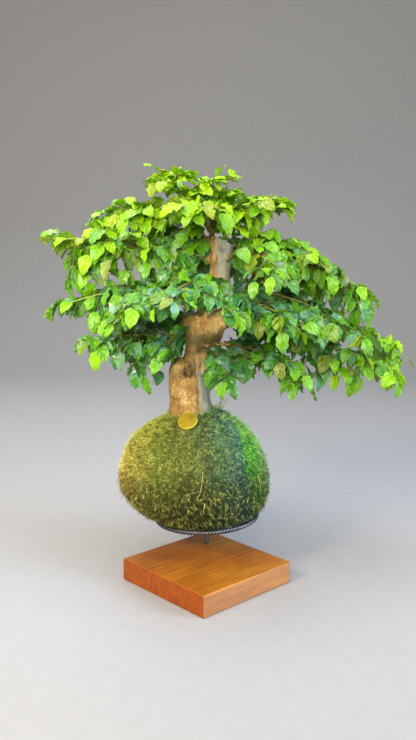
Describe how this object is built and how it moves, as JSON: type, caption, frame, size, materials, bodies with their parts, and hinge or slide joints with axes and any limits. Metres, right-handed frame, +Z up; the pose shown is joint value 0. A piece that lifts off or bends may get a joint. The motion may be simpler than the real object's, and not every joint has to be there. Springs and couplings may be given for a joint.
{
  "type": "kokedama moss ball plant",
  "caption": "Small leaning broadleaf tree growing from a round moss ball, which sits in a ring of twisted dark steel bar on a short post set in a square wooden block.",
  "frame": {"origin": "centre of the wooden block's underside", "axes": "+Z up; -Y towards the tree's front as pictured, +X towards its right-hand side; the block's corners point along X and Y within 1.5 degrees"},
  "size_m": [0.4839, 0.3201, 0.5152],
  "materials": {
    "stained_wood": "satin, stained reddish brown",
    "dark_steel": "dark, satin, twisted square bar",
    "soil": "matte, damp packed soil",
    "moss": "matte, fibrous moss",
    "token_brass": "bright, plain",
    "bark": "matte, golden tan bark",
    "leaf": "glossy green leaf, on tan green twigs"
  },
  "bodies": {
    "root": {"base_block": "stained_wood", "stand_post": "dark_steel", "stand_ring": "dark_steel", "stand_arm_1": "dark_steel", "stand_arm_2": "dark_steel", "stand_arm_3": "dark_steel", "stand_arm_4": "dark_steel", "soil_ball": "soil", "moss_skin": "moss", "moss_token": "token_brass", "trunk": "bark", "spray_apex": "leaf", "spray_top_left": "leaf", "spray_upper_left": "leaf", "spray_long_left": "leaf", "spray_mid_left": "leaf", "spray_low_left": "leaf", "spray_front_left": "leaf", "spray_front_mid_left": "leaf", "spray_front_mid": "leaf", "spray_top_front": "leaf", "spray_top_right": "leaf", "spray_upper_right": "leaf", "spray_outer_right": "leaf", "spray_mid_right": "leaf", "spray_right_arm": "leaf", "spray_low_right_long": "leaf", "spray_low_right": "leaf", "spray_low_front": "leaf", "spray_front_right": "leaf", "spray_front_upper_right": "leaf", "spray_back_upper_left": "leaf", "spray_back_upper_right": "leaf", "spray_back_mid": "leaf", "spray_back_low_left": "leaf", "spray_back_low_right": "leaf", "spray_inner_low_left": "leaf"}
  },
  "joints": []
}
